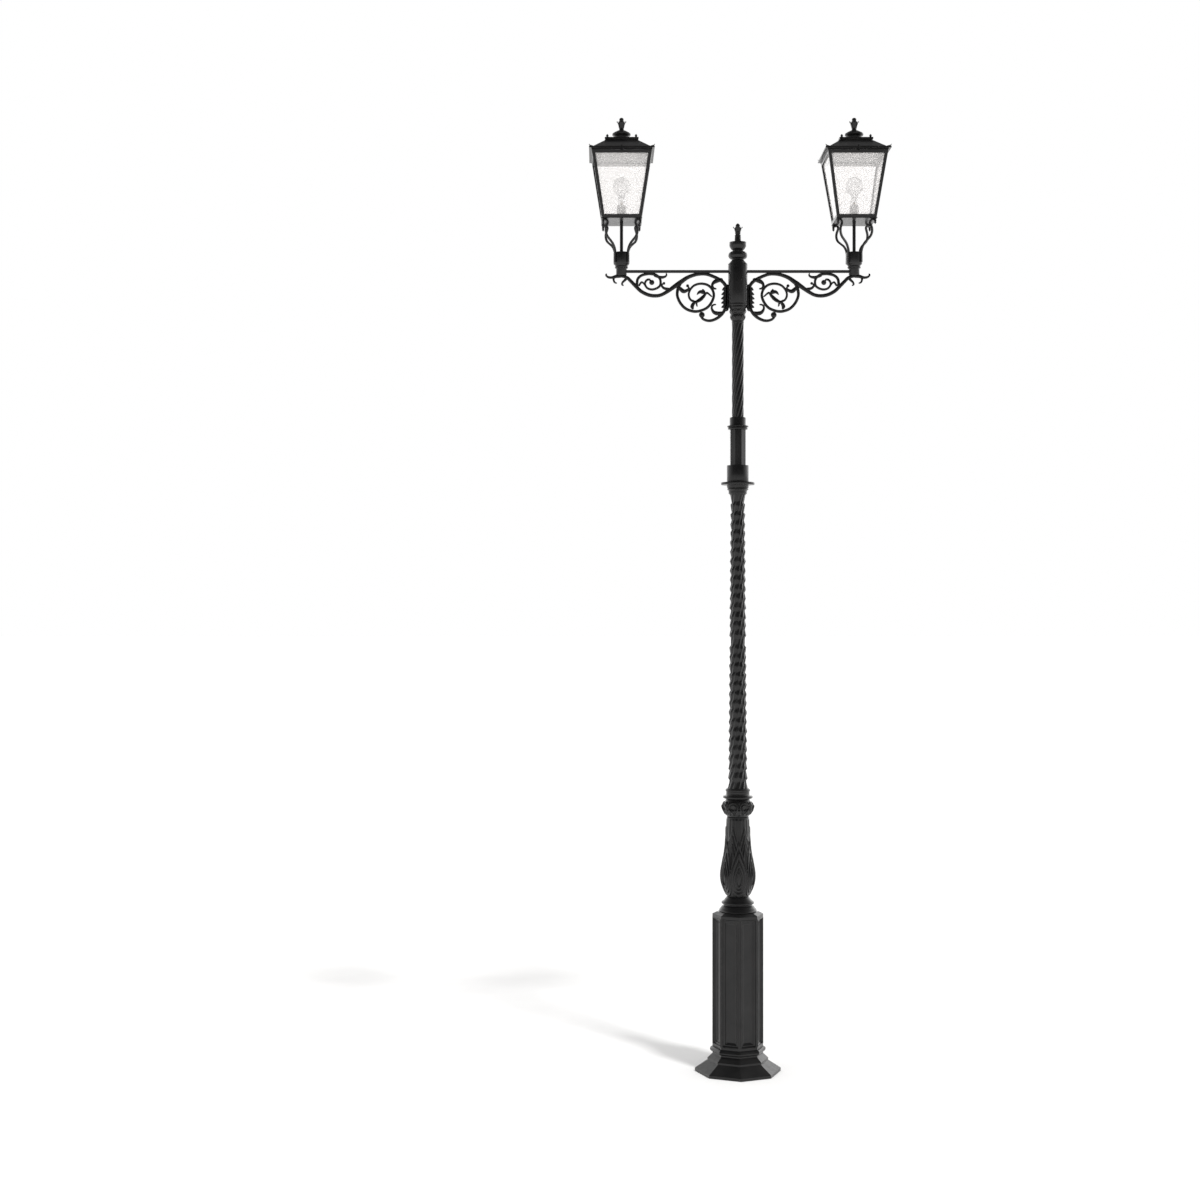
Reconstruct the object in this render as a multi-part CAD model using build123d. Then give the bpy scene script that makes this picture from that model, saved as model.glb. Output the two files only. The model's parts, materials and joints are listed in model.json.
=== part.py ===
"""Cast-iron street lamp with two lanterns on scrolled arms.

Millimetres, +Z up. The origin is the centre of the foot, on the ground. The arms lie along X, the front
is -Y, and the pedestal's door and the lanterns' hinges are at the back.
Turned pieces are outlines of (radius, height) points. Octagons are given by their corner radius.
"""
from build123d import *
import os
from math import cos, pi, radians, sin, sqrt, tan

os.makedirs("parts", exist_ok=True)

# ---- fits -------------------------------------------------------------------------------------------
pin_clearance = 0.05  # radial, hinge pins and spindles in their bores
body_gap = 0.5  # between closed bodies that part again
turn_gap = 1.5  # between a cam or tongue and what it turns behind
tube_clearance = 1.0  # radial, castings over the core tube

# ---- foot and pedestal ------------------------------------------------------------------------------
foot_corner_r, foot_edge_height = 244.0, 18.0
foot_slope_r, foot_slope_height = 172.5, 45.0
foot_band_height, foot_splay_height = 13.0, 26.0
bead_gap, bead_height, bead_out = 10.0, 30.0, 14.7
pedestal_corner_r, pedestal_height, pedestal_wall = 144.0, 751.0, 12.0
shoulder_height, pedestal_top_r = 12.0, 118.0
panel_border, panel_below, panel_above = 9.0, 18.0, 22.0
panel_back = 7.0  # thickness left behind a panel
outer_moulding = [(0.0, 0.0), (1.5, 4.0), (6.0, 7.5)]  # (distance in from the panel's edge, depth)
inner_moulding = [(12.0, 7.5), (14.0, 11.5), (24.0, 15.0)]
door_face_angle = 67.5  # direction that the door faces, from +X

# ---- anchor flange and core tube --------------------------------------------------------------------
flange_r, flange_thickness, cable_hole_clearance = 125.0, 20.0, 0.85
anchor_circle_d, anchor_hole_r, anchor_count = 180.0, 11.0, 4
ledge_r, ledge_thickness = 112.0, 14.0
tube_r, tube_wall = 30.15, 5.0
upper_tube_r, upper_tube_wall = 21.2, 4.0
swage_up, swage_height, tube_into_hub = 106.0, 45.0, 53.0
cable_slot_width, cable_slot_up, cable_slot_length = 30.0, 110.0, 140.0

# ---- door, lock and hinge ---------------------------------------------------------------------------
door_frame_below, door_frame_above, door_frame_thickness = 70.0, 90.0, 10.0
stile_width, rail_width = 10.0, 12.0
door_thickness, door_gap, door_inset, door_inset_depth = 6.0, 1.5, 11.0, 3.0
door_pin_r, knuckle_wall, knuckle_stand = 2.0, 2.6, 5.2
knuckle_length, knuckle_gap, door_hinge_in = 22.0, 0.5, 85.0
lock_in_from_edge, lock_head_r, lock_spindle_r = 14.0, 8.0, 5.0
lock_cam_length, lock_cam_width, lock_cam_thickness = 22.0, 10.0, 4.0
key_recess_r = 5.0

# ---- supply cut-out behind the door -----------------------------------------------------------------
board_front, board_width, board_height, board_up = 40.0, 64.0, 270.0, 118.0
cutout_depth, cutout_width, cutout_height, cutout_up = 38.0, 52.0, 120.0, 60.0
carrier_width, carrier_height, carrier_up = 22.0, 60.0, 35.0
carrier_in, carrier_out = 28.0, 7.0
stud_r, stud_height, stud_circle_r = 4.0, 32.0, 88.0

# ---- column castings, from the bottom up ------------------------------------------------------------
cap_height = 84.0
baluster_height, baluster_bulge_r = 451.0, 98.5
collar_height, base_ring_height = 105.0, 59.0
lower_shaft_height, lower_shaft_r, lower_shaft_top_r, shaft_wall = 1663.0, 56.3, 42.5, 9.0
capital_height, capital_flange_r = 71.0, 95.5
sleeve_height, sleeve_r = 96.0, 62.0
neck_height, neck_across_flats = 204.0, 86.0
neck_ring_height = 69.0
upper_shaft_height, upper_shaft_r = 533.0, 33.5
upper_capital_height = 97.0
hub_height, hub_r, hub_wall = 240.0, 55.0, 10.0
hub_cap_height, finial_height = 123.0, 108.0

# ---- arms -------------------------------------------------------------------------------------------
lantern_x = 660.0
rail_drop, rail_r, rail_wall = 42.0, 8.5, 2.5
drawn_reach, drawn_hub_r = 660.0, 55.0  # the scrollwork is drawn for these and stretched to fit
bracket_thickness, hub_plate_out, hub_plate_in = 14.0, 24.0, 10.0
hub_plate_drop, hub_plate_height = 150.0, 150.0
bracket_bolt_r, bracket_head_r, bracket_head_height, bracket_bolt_in = 3.0, 6.0, 4.5, 9.0
bracket_bolt_drops = (95.0, 165.0)

# ---- lanterns ---------------------------------------------------------------------------------------
cup_below_rail, cup_height, cup_body_r, cup_r = 23.0, 130.0, 30.5, 46.0
stem_r, stem_wall, stem_socket = 9.5, 2.5, 40.0
leg_bar, leg_foot_out, leg_foot_down, legs_height = 11.0, 50.5, 60.0, 174.0
tray_side, tray_thickness = 230.0, 4.0
pendant_r, pendant_drop, pendant_in = 7.5, 22.0, 11.0
frame_height, frame_bottom_half, frame_top_half, frame_thickness = 367.0, 111.6, 168.5, 8.0
window_up, window_down, post_low, post_high = 18.0, 17.0, 14.6, 20.5
pane_thickness, pane_corner_gap, pane_top_gap = 4.0, 0.5, 3.0
roof_band_height, roof_band_out, roof_wall = 6.5, 2.0, 4.0
cornice_thickness, cornice_out = 9.0, 13.0
hip_height, hip_in, hip_top_half = 54.0, 16.5, 94.0
gallery_gap, gallery_thickness, gallery_out = 8.0, 10.0, 1.0
knob_in, knob_r, knob_height = 14.0, 6.5, 19.0
vent_height, vent_hole_r, vent_neck_r, vent_brim_r, vent_brim_up = 63.0, 30.0, 40.0, 52.0, 38.0
roof_finial_height, reflector_thickness, air_gap = 69.0, 2.0, 16.0

# ---- lamp -------------------------------------------------------------------------------------------
holder_r, holder_height, socket_r, socket_floor_up = 26.0, 89.0, 20.6, 30.0
lamp_cap_r, lamp_cap_height, glass_stem_height = 19.5, 55.0, 20.0
bulb_r, bulb_height, bulb_wall, bulb_neck = 51.0, 165.0, 1.0, 8.0
wire_hole_r = 6.0

# ---- roof hinge and catch ---------------------------------------------------------------------------
roof_pin_r, roof_knuckle_wall, roof_axis_out, roof_axis_drop = 2.0, 2.8, 7.5, 6.5
roof_knuckle_length, roof_hinge_spacing = 14.0, 180.0
catch_r, catch_head_r, catch_head_height = 3.0, 5.5, 7.0
tongue_length, tongue_width, tongue_thickness, tongue_drop = 7.5, 5.0, 3.0, 7.5
keeper_half_width, keeper_thickness, keeper_out = 6.0, 2.4, 4.5

# ---- heights, from the ground up --------------------------------------------------------------------
foot_slope_top = foot_edge_height + foot_slope_height
foot_band_top = foot_slope_top + foot_band_height
foot_splay_top = foot_band_top + foot_splay_height
bead_bottom = foot_splay_top + bead_gap
foot_top = bead_bottom + bead_height
pedestal_shoulder = foot_top + pedestal_height
pedestal_top = pedestal_shoulder + shoulder_height
cap_top = pedestal_top + cap_height
baluster_top = cap_top + baluster_height
collar_top = baluster_top + collar_height
base_ring_top = collar_top + base_ring_height
lower_shaft_top = base_ring_top + lower_shaft_height
capital_top = lower_shaft_top + capital_height
sleeve_top = capital_top + sleeve_height
neck_top = sleeve_top + neck_height
neck_ring_top = neck_top + neck_ring_height
upper_shaft_top = neck_ring_top + upper_shaft_height
upper_capital_top = upper_shaft_top + upper_capital_height
hub_top = upper_capital_top + hub_height
hub_cap_top = hub_top + hub_cap_height
finial_top = hub_cap_top + finial_height
swage_bottom, tube_top = sleeve_top + swage_up, upper_capital_top + tube_into_hub
rail_z = hub_top - rail_drop
cup_bottom = rail_z - cup_below_rail
cup_top = cup_bottom + cup_height
tray_bottom = cup_top + legs_height
frame_bottom = tray_bottom + tray_thickness
frame_top = frame_bottom + frame_height
roof_bottom = frame_top + body_gap
cornice_bottom = roof_bottom + roof_band_height
cornice_top = cornice_bottom + cornice_thickness
hip_top = cornice_top + hip_height
gallery_bottom = hip_top + gallery_gap
gallery_top = gallery_bottom + gallery_thickness
vent_top = gallery_top + vent_height
holder_top = frame_bottom + holder_height
socket_floor = frame_bottom + socket_floor_up
lamp_cap_top = socket_floor + lamp_cap_height
bulb_top = lamp_cap_top + bulb_height

# ---- places worked out from the sizes above ---------------------------------------------------------
flat = cos(radians(22.5))  # apothem of an octagon of corner radius 1
face_out = pedestal_corner_r * flat
face_half = pedestal_corner_r * sin(radians(22.5))
panel_half = face_half - panel_border
panel_bottom, panel_top = foot_top + panel_below, pedestal_shoulder - panel_above
frame_side = (face_out - pedestal_wall) * tan(radians(22.5))
door_frame_bottom, door_frame_top = foot_top + door_frame_below, pedestal_shoulder - door_frame_above
opening_half = frame_side - stile_width
opening_bottom, opening_top = door_frame_bottom + rail_width, door_frame_top - rail_width
door_half = opening_half - door_gap
door_axis_out = face_out + knuckle_stand
door_axis_side = opening_half + knuckle_wall + door_pin_r
door_hinge_heights = (opening_bottom + door_hinge_in, opening_top - door_hinge_in)
lock_side, lock_height = -door_half + lock_in_from_edge, (opening_bottom + opening_top) / 2
board_bottom = door_frame_bottom + board_up
cutout_bottom = board_bottom + cutout_up
carrier_bottom = cutout_bottom + carrier_up
cable_hole_r = tube_r - tube_wall + cable_hole_clearance
cup_bore = tube_r + tube_clearance
upper_bore = upper_tube_r + tube_clearance
frame_slope = (frame_top_half - frame_bottom_half) / frame_height
roof_band_half = frame_top_half + roof_band_out
cornice_half = roof_band_half + cornice_out
roof_axis_y = frame_top_half + roof_axis_out
roof_axis_z = frame_top - roof_axis_drop
catch_y = -(roof_band_half + cornice_half) / 2
tongue_z = frame_top - tongue_drop
leg_end = tray_side / 2 - pendant_in


def outline(points):
    return make_face(Plane.XZ * Polyline(*points, close=True))


def turned(points, bore=0.0):
    """Solid of revolution about Z: outer (radius, height) points from the bottom up, over a bore."""
    closed = list(points) + [(bore, points[-1][1]), (bore, points[0][1])]
    return revolve(outline(closed), Axis.Z)


def turned_curve(points, bore=0.0):
    """As turned, with one smooth curve through the points."""
    low, high = points[0], points[-1]
    edges = [
        Spline(*points),
        Line(high, (bore, high[1])),
        Line((bore, high[1]), (bore, low[1])),
        Line((bore, low[1]), low),
    ]
    return revolve(make_face([Plane.XZ * edge for edge in edges]), Axis.Z)


def octagonal(levels, turn=0.0):
    """Solid through octagons given as (corner radius, height) from the bottom up."""
    return loft([Pos(0, 0, z) * RegularPolygon(r, 8, rotation=turn) for r, z in levels], ruled=True)


def frustum(bottom_half, bottom_z, top_half, top_z):
    """Square pyramid stump about Z."""
    low = Pos(0, 0, bottom_z) * Rectangle(2 * bottom_half, 2 * bottom_half)
    high = Pos(0, 0, top_z) * Rectangle(2 * top_half, 2 * top_half)
    return loft([low, high], ruled=True)


def rod(r, bottom, top):
    return Pos(0, 0, bottom) * Cylinder(r, top - bottom, align=(Align.CENTER, Align.CENTER, Align.MIN))


def block(x0, x1, y0, y1, z0, z1):
    return Pos((x0 + x1) / 2, (y0 + y1) / 2, (z0 + z1) / 2) * Box(x1 - x0, y1 - y0, z1 - z0)


def bar_along_x(r, x0, x1, y=0.0, z=0.0):
    return Pos((x0 + x1) / 2, y, z) * Rot(0, 90, 0) * Cylinder(r, x1 - x0)


def to_door_face(shape):
    """Places a shape drawn with X out of the door's face and Y along it."""
    return Rot(0, 0, door_face_angle) * shape


def in_quarters(shape, start=45.0):
    return [Rot(0, 0, start + 90 * i) * shape for i in range(4)]


# ---- foot and pedestal ------------------------------------------------------------------------------
def make_foot():
    steps = 6
    bead = [
        (
            pedestal_corner_r + bead_out * sin(pi * i / steps),
            bead_bottom + (foot_top - bead_bottom) * (1 - cos(pi * i / steps)) / 2,
        )
        for i in range(steps + 1)
    ]
    outside = octagonal(
        [
            (foot_corner_r, 0),
            (foot_corner_r, foot_edge_height),
            (foot_slope_r, foot_slope_top),
            (foot_slope_r, foot_band_top),
            (pedestal_corner_r, foot_splay_top),
        ]
        + bead
    )
    inner_r = pedestal_corner_r - pedestal_wall / flat
    well_r = (flange_r + 2) / flat
    inside = octagonal([(well_r, 0), (well_r, flange_thickness)])
    inside += rod(ledge_r, flange_thickness, flange_thickness + ledge_thickness)
    inside += octagonal([(inner_r, flange_thickness + ledge_thickness), (inner_r, foot_top)])
    return outside - inside


def panel_cut(moulding):
    """Part of a panel's recess, with sloping sides, drawn with X out of the face."""
    middle, height = (panel_bottom + panel_top) / 2, panel_top - panel_bottom
    levels = [(moulding[0][0], -1.0)] + [point for point in moulding if point[1] > 0]
    sections = []
    for inset, depth in levels:
        section = Plane(origin=(face_out - depth, 0, middle), x_dir=(0, 1, 0), z_dir=(1, 0, 0))
        sections.append(section * Rectangle(2 * (panel_half - inset), height - 2 * inset))
    return loft(sections, ruled=True)


def panel_pad():
    """Extra thickness inside the wall behind a panel, drawn with X out of the face."""
    depth = inner_moulding[-1][1] + panel_back
    half = (face_out - depth) * tan(radians(22.5)) - 1
    return block(face_out - depth, face_out - pedestal_wall + 1, -half, half, panel_bottom, panel_top)


def knuckle(z, low_side, high_side, back):
    """Hinge barrel with its strap, from low_side to high_side along the door's face."""
    half = knuckle_length / 2
    barrel = Pos(door_axis_out, door_axis_side, z) * Cylinder(door_pin_r + knuckle_wall, knuckle_length)
    return barrel + block(back, door_axis_out + 1, low_side, high_side, z - half, z + half)


def make_pedestal():
    inner_r = pedestal_corner_r - pedestal_wall / flat
    shoulder = (pedestal_corner_r, pedestal_shoulder)
    body = octagonal([(pedestal_corner_r, foot_top), shoulder, (pedestal_top_r, pedestal_top)])
    body -= octagonal([(inner_r, foot_top), (inner_r, pedestal_shoulder - pedestal_wall)])
    body -= rod(cup_bore, foot_top, pedestal_top)
    cut = panel_cut(outer_moulding) + panel_cut(inner_moulding)
    for i in range(8):
        angle = 22.5 + 45 * i
        if angle != door_face_angle:
            body += Rot(0, 0, angle) * panel_pad()
            body -= Rot(0, 0, angle) * cut
    back = face_out - pedestal_wall - 1
    slot = block(back, face_out + 1, -frame_side, frame_side, door_frame_bottom, door_frame_top)
    return body - to_door_face(slot)


def make_door_frame():
    back = face_out - door_frame_thickness
    frame = block(back, face_out, -frame_side, frame_side, door_frame_bottom, door_frame_top)
    opening = block(back, face_out, -opening_half, opening_half, opening_bottom, opening_top)
    return to_door_face(frame - opening)


def make_frame_hinge_leaves():
    leaves = []
    for z in door_hinge_heights:
        for end in (-1, 1):
            at = z + end * (knuckle_length + knuckle_gap)
            leaf = knuckle(at, door_axis_side - 1, frame_side - 1, face_out)
            bore = Pos(door_axis_out, door_axis_side, at) * Cylinder(door_pin_r, knuckle_length)
            leaves.append(to_door_face(leaf - bore))
    return leaves


def make_door_hinge_leaves():
    leaves = []
    inner_edge, over_gap = door_half - door_inset, 1.0
    for z in door_hinge_heights:
        leaf = knuckle(z, inner_edge, door_axis_side, face_out + over_gap)
        half = knuckle_length / 2
        leaf += block(face_out, face_out + 2 * over_gap, inner_edge, door_half, z - half, z + half)
        bore = Pos(door_axis_out, door_axis_side, z) * Cylinder(door_pin_r + pin_clearance, knuckle_length)
        leaves.append(to_door_face(leaf - bore))
    return leaves


def make_door():
    top, bottom = opening_top - door_gap, opening_bottom + door_gap
    leaf = block(face_out - door_thickness, face_out, -door_half, door_half, bottom, top)
    side, front = door_half - door_inset, face_out - door_inset_depth
    leaf -= block(front, face_out, -side, side, bottom + door_inset, top - door_inset)
    bore = Rot(0, 90, 0) * Cylinder(lock_spindle_r + pin_clearance, 4 * door_thickness)
    boss = bar_along_x(lock_head_r + 1, front - 1, face_out, lock_side, lock_height)
    return to_door_face(leaf + boss - Pos(face_out, lock_side, lock_height) * bore)


def make_door_pins():
    pin = Cylinder(door_pin_r, 3 * knuckle_length + 2 * knuckle_gap)
    return [to_door_face(Pos(door_axis_out, door_axis_side, z) * pin) for z in door_hinge_heights]


def make_door_lock():
    """Head, spindle and cam. Stored released: the cam stands upright, clear of the door's frame."""
    y, z = lock_side, lock_height
    cam_front, half = face_out - door_frame_thickness - turn_gap, lock_cam_width / 2
    spindle = bar_along_x(lock_spindle_r, cam_front, face_out + body_gap, y, z)
    head = bar_along_x(lock_head_r, face_out + body_gap, face_out + 4, y, z)
    triangle = Pos(face_out + 4, y, z) * Rot(0, 90, 0) * extrude(RegularPolygon(key_recess_r, 3), -3)
    cam = block(cam_front - lock_cam_thickness, cam_front, y - half, y + half, z - half, z + lock_cam_length)
    return to_door_face(spindle + head + cam - triangle)


# ---- flange, tube and the cut-out inside ------------------------------------------------------------
def make_base_flange():
    plate = rod(flange_r, 0, flange_thickness) - rod(cable_hole_r, 0, flange_thickness)
    for i in range(anchor_count):
        angle = radians(45 + 360 * i / anchor_count)
        x, y = anchor_circle_d / 2 * cos(angle), anchor_circle_d / 2 * sin(angle)
        plate -= Pos(x, y, 0) * rod(anchor_hole_r, 0, flange_thickness)
    stud = to_door_face(Pos(stud_circle_r, 0, 0) * rod(stud_r, 0, flange_thickness))
    return plate - stud


def make_core_tube():
    swage_top = swage_bottom + swage_height
    inner_r, upper_inner_r = tube_r - tube_wall, upper_tube_r - upper_tube_wall
    wall = outline(
        [
            (inner_r, flange_thickness),
            (tube_r, flange_thickness),
            (tube_r, swage_bottom),
            (upper_tube_r, swage_top),
            (upper_tube_r, tube_top),
            (upper_inner_r, tube_top),
            (upper_inner_r, swage_top),
            (inner_r, swage_bottom),
        ]
    )
    half, slot_bottom = cable_slot_width / 2, flange_thickness + cable_slot_up
    slot = block(0, tube_r + 1, -half, half, slot_bottom, slot_bottom + cable_slot_length)
    return revolve(wall, Axis.Z) - to_door_face(slot)


def make_mounting_board():
    half, top = board_width / 2, board_bottom + board_height
    board = block(tube_r - tube_wall, board_front, -half, half, board_bottom, top)
    return to_door_face(board - rod(tube_r, board_bottom, top))


def carrier_socket(clearance):
    half = carrier_width / 2 + clearance
    back = board_front + cutout_depth - carrier_in - clearance
    top = carrier_bottom + carrier_height + clearance
    return block(back, board_front + cutout_depth + 1, -half, half, carrier_bottom - clearance, top)


def make_cutout_unit():
    front, half = board_front + cutout_depth, cutout_width / 2
    case = block(board_front, front, -half, half, cutout_bottom, cutout_bottom + cutout_height)
    return to_door_face(case - carrier_socket(body_gap))


def make_fuse_carrier():
    front, half = board_front + cutout_depth, carrier_width / 2
    top, middle = carrier_bottom + carrier_height, carrier_bottom + carrier_height / 2
    plug = block(front - carrier_in, front + carrier_out, -half, half, carrier_bottom, top)
    grip_depth, grip_height = 3.0, 24.0
    for side in (-1, 1):
        y = side * half
        plug -= block(
            front + 1,
            front + carrier_out - 2,
            y - grip_depth,
            y + grip_depth,
            middle - grip_height / 2,
            middle + grip_height / 2,
        )
    return to_door_face(plug)


def make_earth_stud():
    nut_r, nut_height, washer_r, washer_height = 7.0, 6.5, 9.0, 1.6
    stud = rod(stud_r, 0, flange_thickness + stud_height)
    washer = rod(washer_r, flange_thickness, flange_thickness + washer_height)
    nut = Pos(0, 0, flange_thickness + washer_height) * extrude(RegularPolygon(nut_r, 6), nut_height)
    return to_door_face(Pos(stud_circle_r, 0, 0) * (stud + washer + nut))


# ---- column castings --------------------------------------------------------------------------------
def make_pedestal_cap():
    z = pedestal_top
    return turned(
        [(104, z), (106, z + 4), (104, z + 14), (98, z + 20), (92, z + 30), (81, z + 38), (81, z + 42),
         (92, z + 47), (92, z + 54), (77, z + 66), (66, cap_top - 4), (63, cap_top)],
        cup_bore,
    )


def make_baluster():
    foot_and_top = 63.0, 66.0
    shares = [(78.6, 0.073), (94, 0.173), (baluster_bulge_r, 0.268), (93, 0.388), (79, 0.557), (71.4, 0.725),
              (67.5, 0.911)]
    points = [(r, cap_top + share * baluster_height) for r, share in shares]
    return turned_curve([(foot_and_top[0], cap_top)] + points + [(foot_and_top[1], baluster_top)], cup_bore)


def make_leaf_collar():
    z = baluster_top
    return turned(
        [(66, z), (78, z + 18), (86, z + 32), (90, z + 40), (87, z + 50), (91.4, z + 65), (88, z + 79),
         (80, z + 91), (73, collar_top)],
        cup_bore,
    )


def make_shaft_base_ring():
    z = collar_top
    return turned(
        [(73, z), (83, z + 4), (84, z + 10), (82, z + 16), (66, z + 20), (66, z + 40), (69.5, z + 44),
         (69.5, z + 52), (60, base_ring_top)],
        cup_bore,
    )


def make_lower_shaft():
    inner_low, inner_high = lower_shaft_r - shaft_wall, lower_shaft_top_r - shaft_wall
    wall = outline(
        [
            (inner_low, base_ring_top),
            (lower_shaft_r, base_ring_top),
            (lower_shaft_top_r, lower_shaft_top),
            (inner_high, lower_shaft_top),
        ]
    )
    return revolve(wall, Axis.Z)


def make_shaft_capital():
    z = lower_shaft_top
    return turned(
        [(46, z), (47, z + 5), (52, z + 6), (53, z + 25), (60, z + 29), (60, z + 35), (57, z + 38),
         (61, z + 40), (63, z + 55), (capital_flange_r - 2, z + 57), (capital_flange_r, z + 62),
         (capital_flange_r, z + 69), (capital_flange_r - 2, capital_top)],
        cup_bore,
    )


def make_sleeve():
    return rod(sleeve_r, capital_top, sleeve_top) - rod(cup_bore, capital_top, sleeve_top)


def make_octagonal_neck():
    corner_r = neck_across_flats / 2 / flat
    neck = octagonal([(corner_r, sleeve_top), (corner_r, neck_top)], turn=22.5)
    return neck - rod(cup_bore, sleeve_top, neck_top)


def make_neck_ring():
    z = neck_top
    return turned(
        [(54, z), (56, z + 3), (56, z + 9), (52, z + 12), (60, z + 14), (61, z + 18), (58, z + 21),
         (46, z + 23), (46, neck_ring_top - 4), (42, neck_ring_top)],
        upper_bore,
    )


def make_upper_shaft():
    shaft = rod(upper_shaft_r, neck_ring_top, upper_shaft_top)
    return shaft - rod(upper_bore, neck_ring_top, upper_shaft_top)


def make_upper_capital():
    z = upper_shaft_top
    return turned(
        [(33.5, z), (37.7, z + 5), (34, z + 15), (41.7, z + 24), (44.7, z + 35), (40.5, z + 50),
         (48, z + 66), (46.5, z + 78), (51, z + 88), (51, upper_capital_top)],
        upper_bore,
    )


def make_hub():
    z = upper_capital_top
    body = turned([(52, z), (hub_r, z + 4), (hub_r, z + 11), (hub_r - 1, z + 14), (hub_r, z + 17),
                   (hub_r, hub_top)])
    body -= rod(hub_r - hub_wall, z + hub_wall, hub_top - hub_wall)
    body -= rod(upper_bore, z, hub_top - hub_wall)
    for bolt in make_bracket_bolts():
        body -= bolt
    return body - bar_along_x(rail_r, -hub_r - 5, hub_r + 5, 0, rail_z)


def make_hub_cap():
    z = hub_top
    profile = [
        Line((0, z), (hub_r - 2, z)),
        ThreePointArc((hub_r - 2, z), (hub_r - 10, z + 10), (35, z + 21)),
        Line((35, z + 21), (35, z + 27)),
        ThreePointArc((35, z + 27), (54, z + 49), (35, z + 71)),
        Line((35, z + 71), (29, z + 74)),
        Line((29, z + 74), (31, z + 78)),
        ThreePointArc((31, z + 78), (42, z + 90), (48, z + 103)),
        Line((48, z + 103), (48, hub_cap_top)),
        Line((48, hub_cap_top), (0, hub_cap_top)),
        Line((0, hub_cap_top), (0, z)),
    ]
    return revolve(make_face([Plane.XZ * edge for edge in profile]), Axis.Z)


def make_hub_finial():
    z = hub_cap_top
    return turned(
        [(20, z), (18.7, z + 6), (16, z + 43), (12, z + 47), (14, z + 53), (14, z + 62), (18, z + 74),
         (23.4, z + 86), (15, z + 90), (14, z + 98), (8, z + 106), (3, finial_top)]
    )


# ---- arms -------------------------------------------------------------------------------------------
def make_rail():
    x0, x1 = hub_r - hub_wall, lantern_x - cup_body_r + 12
    tube = bar_along_x(rail_r, x0, x1, 0, rail_z) - bar_along_x(rail_r - rail_wall, x0, x1, 0, rail_z)
    return [tube, Rot(0, 0, 180) * tube]


def stroke(points, start_width, end_width):
    """Flat scroll bar along a smooth line, its width changing evenly from start to end."""
    stretch = (lantern_x - hub_r) / (drawn_reach - drawn_hub_r)
    line = Spline(*[(hub_r + (x - drawn_hub_r) * stretch, y) for x, y in points])
    count = 3 * len(points)
    left, right = [], []
    for i in range(count + 1):
        u = i / count
        at, along = line @ u, line % u
        half = (start_width + (end_width - start_width) * u) / 2
        aside = Vector(-along.Y, along.X) * half
        left.append(at + aside)
        right.append(at - aside)
    rim = [Spline(*left), Line(left[-1], right[-1]), Spline(*reversed(right)), Line(right[0], left[0])]
    return make_face(rim)


def dot(x, y, r):
    stretch = (lantern_x - hub_r) / (drawn_reach - drawn_hub_r)
    return Pos(hub_r + (x - drawn_hub_r) * stretch, y) * Circle(r)


def scroll_outline():
    """Scrollwork of one arm: (distance from the column's axis, height above the rail's axis)."""
    main_scroll = [(664, -26), (604, -61), (546, -116), (472, -138), (399, -113), (325, -61), (252, -21),
                   (178, -14), (105, -45), (66, -95), (66, -160), (84, -234), (142, -276), (190, -272),
                   (210, -252)]
    big_volute = [(325, -65), (344, -129), (320, -187), (273, -221), (210, -222), (157, -187), (136, -134),
                  (157, -87), (210, -69), (262, -92), (278, -139), (247, -171), (205, -155), (186, -130)]
    small_volute = [(572, -87), (567, -40), (514, -14), (462, -21), (438, -61), (462, -96), (512, -95),
                    (524, -58), (494, -50)]
    tip = [(655, -24), (714, -34), (748, -21), (743, -12)]
    tip_curl = [(700, -32), (703, -52), (695, -63), (685, -69)]
    inner_curl = [(634, -38), (653, -58), (656, -74), (646, -79)]
    hub_leaf = [(84, -36), (115, -46), (142, -66), (126, -97)]
    lower_leaf = [(84, -236), (128, -240), (144, -213), (128, -190)]
    shape = stroke(main_scroll, 16, 11) + dot(206, -250, 14)
    shape += stroke(big_volute, 12, 9) + dot(195, -120, 15)
    shape += stroke(small_volute, 11, 9) + dot(489, -61, 11)
    shape += stroke(tip, 15, 7) + stroke(tip_curl, 8, 6) + stroke(inner_curl, 8, 6)
    shape += stroke(hub_leaf, 12, 6) + stroke(lower_leaf, 12, 6)
    plate_width = hub_plate_out + hub_plate_in
    plate_x = hub_r + (hub_plate_out - hub_plate_in) / 2
    return shape + Pos(plate_x, -hub_plate_drop) * Rectangle(plate_width, hub_plate_height)


def make_bracket(side):
    flat_work = extrude(scroll_outline(), bracket_thickness / 2, both=True)
    work = Pos(0, 0, rail_z) * Rot(90, 0, 0) * flat_work
    work -= rod(hub_r, upper_capital_top, hub_top)
    work -= bar_along_x(rail_r, 0, lantern_x, 0, rail_z)
    work -= Pos(lantern_x, 0, 0) * cup_outside()
    work -= rod(hub_r + 20, upper_capital_top - 60, upper_capital_top)
    for bolt in right_bolts():
        work -= bolt
    return work if side > 0 else Rot(0, 0, 180) * work


def right_bolts():
    """Hexagon bolts through the right bracket's hub plate, along X."""
    bolts = []
    for drop in bracket_bolt_drops:
        z, face = rail_z - drop, hub_r + hub_plate_out
        shank = bar_along_x(bracket_bolt_r, hub_r - bracket_bolt_in, face, 0, z)
        hexagon = extrude(RegularPolygon(bracket_head_r, 6), bracket_head_height)
        bolts.append(shank + Pos(face, 0, z) * Rot(0, 90, 0) * hexagon)
    return bolts


def make_bracket_bolts():
    bolts = right_bolts()
    return bolts + [Rot(0, 0, 180) * bolt for bolt in bolts]


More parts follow.
